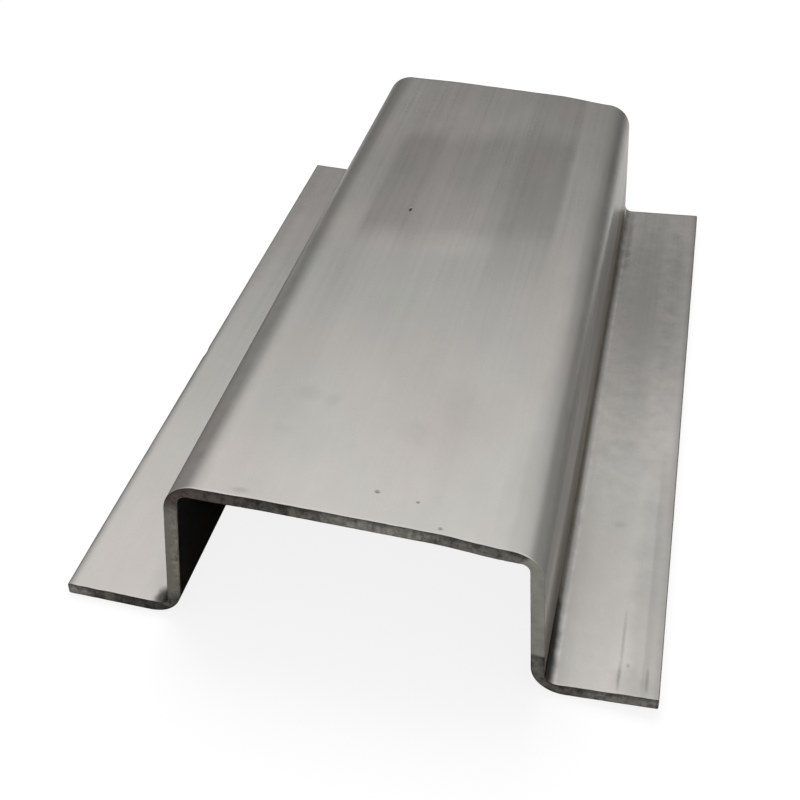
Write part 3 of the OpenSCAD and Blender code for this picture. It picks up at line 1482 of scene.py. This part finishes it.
@dataclass(frozen=True)
class TornEdge(Finish):
    """The cut ends: torn and dull for the most part, burnished where the blade rubbed.

    `dark`, `mid` and `pale` are the torn metal's tones, with `olive` patches and a `brown`
    stretch. `rubbed` and `rosy` are the burnished metal's, with `lichen` flecks. Stretches are
    measured on the flat sheet, and lumps are counted to a metre.
    """

    dark: tuple = (0.020, 0.018, 0.014)
    mid: tuple = (0.105, 0.095, 0.083)
    pale: tuple = (0.300, 0.290, 0.255)
    olive: tuple = (0.180, 0.175, 0.125)
    brown: tuple = (0.112, 0.076, 0.066)
    rubbed: tuple = (0.440, 0.435, 0.380)
    rosy: tuple = (0.266, 0.238, 0.212)
    lichen: tuple = (0.400, 0.400, 0.290)
    rusty: Band = Band(-40, -25, soft=7, wander=1.5)
    crown_pale: Band = Band(-6, 18, soft=14, wander=3)
    right_pale: Band = Band(10, 78, soft=8, wander=3)
    left_lip: Band = Band(-99, -89, soft=5, wander=1)
    right_lip: Band = Band(79, 99, soft=10, wander=2)
    right_rubbed: Strip = Strip(Line.CROWN, 3, Line.WEB, -4, soft=1.2, wander=0.8)
    left_rubbed: Strip = Strip(Line.CROWN, 9, Line.WEB, 1, soft=5, wander=1.2)
    left_share: float = 0.8
    rim_width: float = 0.5 * MM
    mottle_lumps: float = 560.0
    patch_lumps: float = 230.0
    patch_seed: tuple = (0.4, 0.0, 0.0)
    fleck_lumps: float = 640.0
    torn_relief: float = 0.22 * MM
    rubbed_relief: float = 0.02 * MM

    def material(self) -> bpy.types.Material:
        """Makes the finish's material.

        Returns:
            The material.
        """
        made, g, shader = self.start("torn_steel_end")
        place = self.place(g)
        across, _, through = g.split(place)
        drift = self.drift(g, through)
        drawn = g.vector("MULTIPLY", place, (1.0, 1.0, 0.7))
        mottle = g.noise(drawn, self.mottle_lumps, 3.0, 0.75)
        patch = g.noise(g.vector("ADD", place, self.patch_seed), self.patch_lumps, 2.0, 0.6)
        rubbed = self._rubbed(g, across, drift)
        torn = self._torn(g, across, drift, mottle, patch)
        drop = g.ramp(through, 0.1 * MM, 0.9 * MM, 0.0, 0.65)
        torn = g.tint(g.times(drop, g.ramp(patch, 0.35, 0.55, 1.0, 0.4)), torn, self.dark)
        colour = g.tint(rubbed, torn, self._skin(g, place, drift, mottle, patch))
        edge = g.math("SUBTRACT", self.section.thickness / 2, g.math("ABSOLUTE", through))
        feeds = {"Place": place, "Distance": edge, "Width": self.rim_width}
        line = g.use(self.effects.rim, feeds).outputs[0]
        line = g.times(line, g.ramp(rubbed, 0.0, 1.0, 1.0, 0.3))
        keep = g.ramp(line, 0.0, 1.0, 1.0, 0.45)
        colour = g.tint(1.0, colour, g.join(keep, keep, keep), "MULTIPLY")
        g.feed(shader.inputs["Base Color"], colour)
        g.feed(shader.inputs["Roughness"], g.ramp(rubbed, 0.0, 1.0, 0.68, 0.42))
        g.feed(shader.inputs["Metallic"], g.ramp(rubbed, 0.0, 1.0, 0.25, 0.65))
        relief = g.ramp(rubbed, 0.0, 1.0, self.torn_relief, self.rubbed_relief)
        self.dent(g, shader, g.times(relief, mottle))
        return made

    def _torn(self, g: Graph, across: Value, drift: Value, mottle: Value, patch: Value) -> Output:
        """Mixes the colour of the torn metal.

        Args:
            g: the material's tree.
            across: distance across the blank.
            drift: how the stretches' ends wander.
            mottle: the fine mottle of the metal.
            patch: the coarser patches on it.

        Returns:
            The colour.
        """
        torn = g.tint(g.ramp(mottle, 0.36, 0.62), self.dark, self.mid)
        light = g.tint(g.ramp(mottle, 0.34, 0.58), self.mid, self.pale)
        torn = g.tint(self._pale(g, across, drift), torn, light)
        torn = g.tint(g.ramp(patch, 0.52, 0.70, 0.0, 0.8, smooth=True), torn, self.olive)
        rusty = self.rusty.mask(g, self.effects, across, drift)
        rusty = g.times(rusty, g.ramp(mottle, 0.40, 0.55, 0.1, 0.8))
        return g.tint(rusty, torn, self.brown)

    def _skin(self, g: Graph, place: Value, drift: Value, mottle: Value, patch: Value) -> Output:
        """Mixes the colour of the burnished metal, browner and flecked on the left side.

        Args:
            g: the material's tree.
            place: the place on the blank.
            drift: how the stretches' ends wander.
            mottle: the fine mottle of the metal.
            patch: the coarser patches on it.

        Returns:
            The colour.
        """
        across, _, through = g.split(place)
        left = g.math("LESS_THAN", across, 0.0)
        worn = g.most(g.times(left, 0.8), g.ramp(patch, 0.42, 0.60, 0.0, 0.35))
        skin = g.tint(worn, self.rubbed, self.rosy)
        moved = g.math("MULTIPLY_ADD", drift, 0.3 * MM, through)
        inner = g.times(g.ramp(moved, -0.1 * MM, 0.5 * MM, 1.0, 0.0), left)
        skin = g.tint(g.times(inner, g.ramp(mottle, 0.48, 0.62)), skin, self.lichen)
        fleck = g.ramp(g.noise(place, self.fleck_lumps, 2.0, 0.7), 0.55, 0.68)
        return g.tint(g.times(inner, fleck, 0.75), skin, self.mid)

    def _pale(self, g: Graph, across: Value, drift: Value) -> Output:
        """Adds the stretches where the torn surface is lighter.

        Args:
            g: the material's tree.
            across: distance across the blank.
            drift: how the stretches' ends wander.

        Returns:
            The mask.
        """
        layers = (
            (self.crown_pale, 1.0),
            (self.right_pale, 0.45),
            (self.right_lip, 0.75),
            (self.left_lip, 1.0),
        )
        masks = []
        for band, share in layers:
            masks.append(g.times(band.mask(g, self.effects, across, drift), share))
        return g.most(*masks)

    def _rubbed(self, g: Graph, across: Value, drift: Value) -> Output:
        """Adds the burnished stretches, which lie on the two webs.

        Args:
            g: the material's tree.
            across: distance across the blank.
            drift: how the stretches' ends wander.

        Returns:
            The mask.
        """
        right = self.right_rubbed.band(self.section.run(self.section.right))
        left = self.left_rubbed.band(self.section.run(self.section.left))
        right_web = right.mask(g, self.effects, across, drift)
        left_web = left.mask(g, self.effects, g.times(across, -1.0), drift)
        return g.most(right_web, g.times(left_web, self.left_share))


@dataclass(frozen=True)
class Shot:
    """Where the camera stands and what it looks at."""

    azimuth: float = -11.22
    elevation: float = 39.18
    roll: float = 2.77
    distance: float = 296.06 * MM
    aim: Vector = Vector((-4.4, -38.2, 0)) * MM
    lens: float = 54.815
    sensor: float = 36.0
    clip_start: float = 5 * MM

    def place(self, centre: Vector) -> bpy.types.Object:
        """Makes the scene's camera.

        Args:
            centre: the middle of the object's box.

        Returns:
            The camera.
        """
        forward = towards(self.azimuth, -self.elevation)
        level = towards(self.azimuth + 90, 0)
        roll = math.radians(self.roll)
        right = level * math.cos(roll) + level.cross(forward) * math.sin(roll)
        up = right.cross(forward)
        data = bpy.data.cameras.new("camera")
        data.sensor_width = self.sensor
        data.lens = self.lens
        data.clip_start = self.clip_start
        camera = bpy.data.objects.new("camera", data)
        bpy.context.scene.collection.objects.link(camera)
        facing = Matrix((right, up, -forward)).transposed().to_4x4()
        stand = centre + self.aim - forward * self.distance
        camera.matrix_world = Matrix.Translation(stand) @ facing
        bpy.context.scene.camera = camera
        return camera


@dataclass(frozen=True)
class Lamp:
    """A soft rectangular lamp that points at the middle of the object."""

    name: str
    azimuth: float
    elevation: float
    distance: float
    width: float
    power: float
    glossy: bool = True

    def place(self, centre: Vector) -> bpy.types.Object:
        """Makes the lamp.

        Args:
            centre: what it points at.

        Returns:
            The lamp.
        """
        out = towards(self.azimuth, self.elevation)
        data = bpy.data.lights.new(self.name, "AREA")
        data.size = self.width
        data.energy = self.power
        lamp = bpy.data.objects.new(self.name, data)
        lamp.location = centre + out * self.distance
        lamp.rotation_mode = "QUATERNION"
        lamp.rotation_quaternion = (-out).to_track_quat("-Z", "Y")
        lamp.visible_glossy = self.glossy
        bpy.context.scene.collection.objects.link(lamp)
        return lamp


@dataclass(frozen=True)
class Card:
    """A graded card that stands round the object and is seen only in its reflections.

    It stands between the azimuths `first` and `last`. `low`, `fade` and `high` are the elevations
    of its lower edge, of the place where it starts to grow lighter and of its upper edge, all
    seen from the object. `tone` and `top` are its two levels, and `side_fade` is the angle over
    which it also reaches `top` at its two sides. `lift` is how much lower, in metres, the card
    grows lighter where it stands on the right, and `lift_range` is where that starts and is
    reached, as shares of the radius.
    """

    name: str
    first: float
    last: float
    low: float
    fade: float
    high: float
    tone: float
    top: float = 1.0
    side_fade: float = 0.0
    lift: float = 0.0
    lift_range: tuple[float, float] = (0.4, 0.67)
    radius: float = 3.0
    steps: int = 48

    def _height(self, rise: float) -> float:
        """Height on the card at an elevation seen from the object."""
        return self.radius * math.tan(math.radians(rise))

    def _material(self) -> bpy.types.Material:
        """Makes the card's graded tone.

        Returns:
            The material.
        """
        made, g = Graph.stage_material(self.name)
        x, y, height = g.split(g.add("ShaderNodeTexCoord").outputs["Object"])
        start, stop = (share * self.radius for share in self.lift_range)
        raised = g.total(height, g.ramp(x, start, stop, 0.0, self.lift))
        share = g.ramp(raised, self._height(self.fade), self._height(self.high))
        if self.side_fade:
            angle = g.math("ARCTAN2", x, y)
            first, last, fade = (math.radians(a) for a in (self.first, self.last, self.side_fade))
            near = g.ramp(angle, first, first + fade, 1.0, 0.0, smooth=True)
            share = g.most(share, near, g.ramp(angle, last - fade, last, smooth=True))
        level = g.ramp(share, 0.0, 1.0, self.tone, self.top)
        glow = g.add("ShaderNodeEmission", {"Strength": level})
        g.add("ShaderNodeOutputMaterial", {"Surface": glow.outputs[0]})
        return made

    def build(self) -> bpy.types.Object:
        """Makes the card as a stage object.

        Returns:
            The card, which still has to be linked to the scene.
        """
        points = []
        for step in range(self.steps + 1):
            azimuth = self.first + (self.last - self.first) * step / self.steps
            foot = towards(azimuth, 0) * self.radius
            points += [(foot.x, foot.y, self._height(rise)) for rise in (self.low, self.high)]
        faces = [(n, n + 1, n + 3, n + 2) for n in range(0, 2 * self.steps, 2)]
        mesh = bpy.data.meshes.new(self.name)
        mesh.from_pydata(points, [], faces)
        mesh.materials.append(self._material())
        card = bpy.data.objects.new(self.name, mesh)
        card.visible_camera = False
        card.visible_shadow = False
        return card


@dataclass(frozen=True)
class Studio:
    """A pale floor, a white surround, grey cards and a soft lamp.

    The floor shows as `white_share` white up to `near_white` from its middle, and as plain white
    from `far_white` on. In the steel it shows as a mat of `mat_level`, darker where the piece
    shades it, and lighter beyond `mat_stop` at the far end, up to `mat_gap` on either side.
    """

    floor_reach: float = 12.0
    floor_colour: tuple = (0.9, 0.9, 0.9, 1.0)
    shade_reach: float = 180 * MM
    white_share: float = 0.86
    near_white: float = 0.35
    far_white: float = 1.5
    mat_level: float = 0.34
    mat_stop: float = 101 * MM
    mat_soft: float = 8 * MM
    mat_gap: float = 130 * MM
    mat_fade: float = 90 * MM
    sky_level: float = 0.7
    cards: tuple[Card, ...] = (
        Card("grey_card", 0, 360, low=-0.5, fade=27, high=43, tone=0.30, lift=0.9),
        Card(
            "dark_card",
            -16,
            46,
            low=-0.5,
            fade=8,
            high=18,
            tone=0.12,
            top=0.30,
            side_fade=18,
            radius=2.9,
        ),
    )
    lamps: tuple[Lamp, ...] = (
        Lamp(
            "high_back_lamp",
            azimuth=-25,
            elevation=62,
            distance=1.5,
            width=1.0,
            power=20,
            glossy=False,
        ),
    )

    def _seen_white(self, g: Graph) -> Output:
        """Marks the rays that show the background, from the camera, a mirror or clear glass.

        Args:
            g: the tree that asks.

        Returns:
            1 for such a ray.
        """
        path = g.add("ShaderNodeLightPath").outputs
        seen = g.math("ADD", path["Is Camera Ray"], path["Is Glossy Ray"])
        return g.math("ADD", seen, path["Is Transmission Ray"], clamp=True)

    def _mat(self, g: Graph, place: Value) -> Output:
        """Adds the level at which the steel reflects the floor.

        Args:
            g: the floor's tree.
            place: the place on the floor.

        Returns:
            The level.
        """
        across, along, _ = g.split(place)
        shade = g.add("ShaderNodeAmbientOcclusion", {"Distance": self.shade_reach}, samples=6)
        open_air = g.ramp(shade.outputs["AO"], 0.45, 0.92, 0.0, self.mat_level, smooth=True)
        beyond = g.ramp(along, self.mat_stop, self.mat_stop + self.mat_soft, smooth=True)
        off, stop = g.math("ABSOLUTE", across), self.mat_gap + self.mat_fade
        narrow = g.ramp(off, self.mat_gap, stop, 1.0, 0.0, smooth=True)
        return g.most(open_air, g.times(beyond, narrow))

    def _floor(self) -> bpy.types.Object:
        """Makes the floor, white where it is seen and a grey mat where the steel reflects it.

        Returns:
            The floor, which still has to be linked to the scene.
        """
        made, g = Graph.stage_material("pale_floor")
        place = g.add("ShaderNodeTexCoord").outputs["Object"]
        far = g.vector("LENGTH", place)
        white = g.ramp(far, self.near_white, self.far_white, self.white_share, 1.0, smooth=True)
        share = g.times(self._seen_white(g), white)
        plain = g.add("ShaderNodeBsdfDiffuse", {"Color": self.floor_colour}).outputs[0]
        glow = g.add("ShaderNodeEmission").outputs[0]
        seen = g.add("ShaderNodeMixShader", {0: share, 1: plain, 2: glow}).outputs[0]
        mirrored = g.add("ShaderNodeEmission", {"Strength": self._mat(g, place)}).outputs[0]
        glossy = g.add("ShaderNodeLightPath").outputs["Is Glossy Ray"]
        mix = g.add("ShaderNodeMixShader", {0: glossy, 1: seen, 2: mirrored}).outputs[0]
        g.add("ShaderNodeOutputMaterial", {"Surface": mix})
        mesh = bpy.data.meshes.new("floor")
        reach = self.floor_reach
        points = [(-reach, -reach, 0), (reach, -reach, 0), (reach, reach, 0), (-reach, reach, 0)]
        mesh.from_pydata(points, [], [(0, 1, 2, 3)])
        mesh.materials.append(made)
        return bpy.data.objects.new("floor", mesh)

    def _surround(self) -> None:
        """Makes the world: white where it is seen, a plain level where it lights."""
        world = bpy.data.worlds.new("surround")
        world.use_nodes = True
        g = Graph(world.node_tree)
        background = g.tree.nodes["Background"].inputs
        g.feed(background["Color"], (1.0, 1.0, 1.0, 1.0))
        g.feed(background["Strength"], g.ramp(self._seen_white(g), 0.0, 1.0, self.sky_level, 1.0))
        bpy.context.scene.world = world

    def build(self, centre: Vector) -> None:
        """Makes the floor, cards, world and lamps.

        Args:
            centre: the middle of the object's box.
        """
        for prop in (self._floor(), *(card.build() for card in self.cards)):
            bpy.context.scene.collection.objects.link(prop)
        self._surround()
        for lamp in self.lamps:
            lamp.place(centre)
        bpy.context.scene.view_settings.view_transform = "Standard"


def main() -> None:
    """Builds the piece and its studio, and places the camera."""
    low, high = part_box("hat_channel")
    section = Section(height=high.z)
    effects = Effects()
    faces = MillSteel(section, effects).material()
    ends = TornEdge(section, effects).material()
    HatChannel(section, length=high.y - low.y).build(faces, ends)
    centre = (low + high) / 2
    Studio().build(centre)
    Shot().place(centre)


if __name__ == "__main__":
    logging.basicConfig(level=logging.INFO, format="%(name)s: %(message)s")
    main()
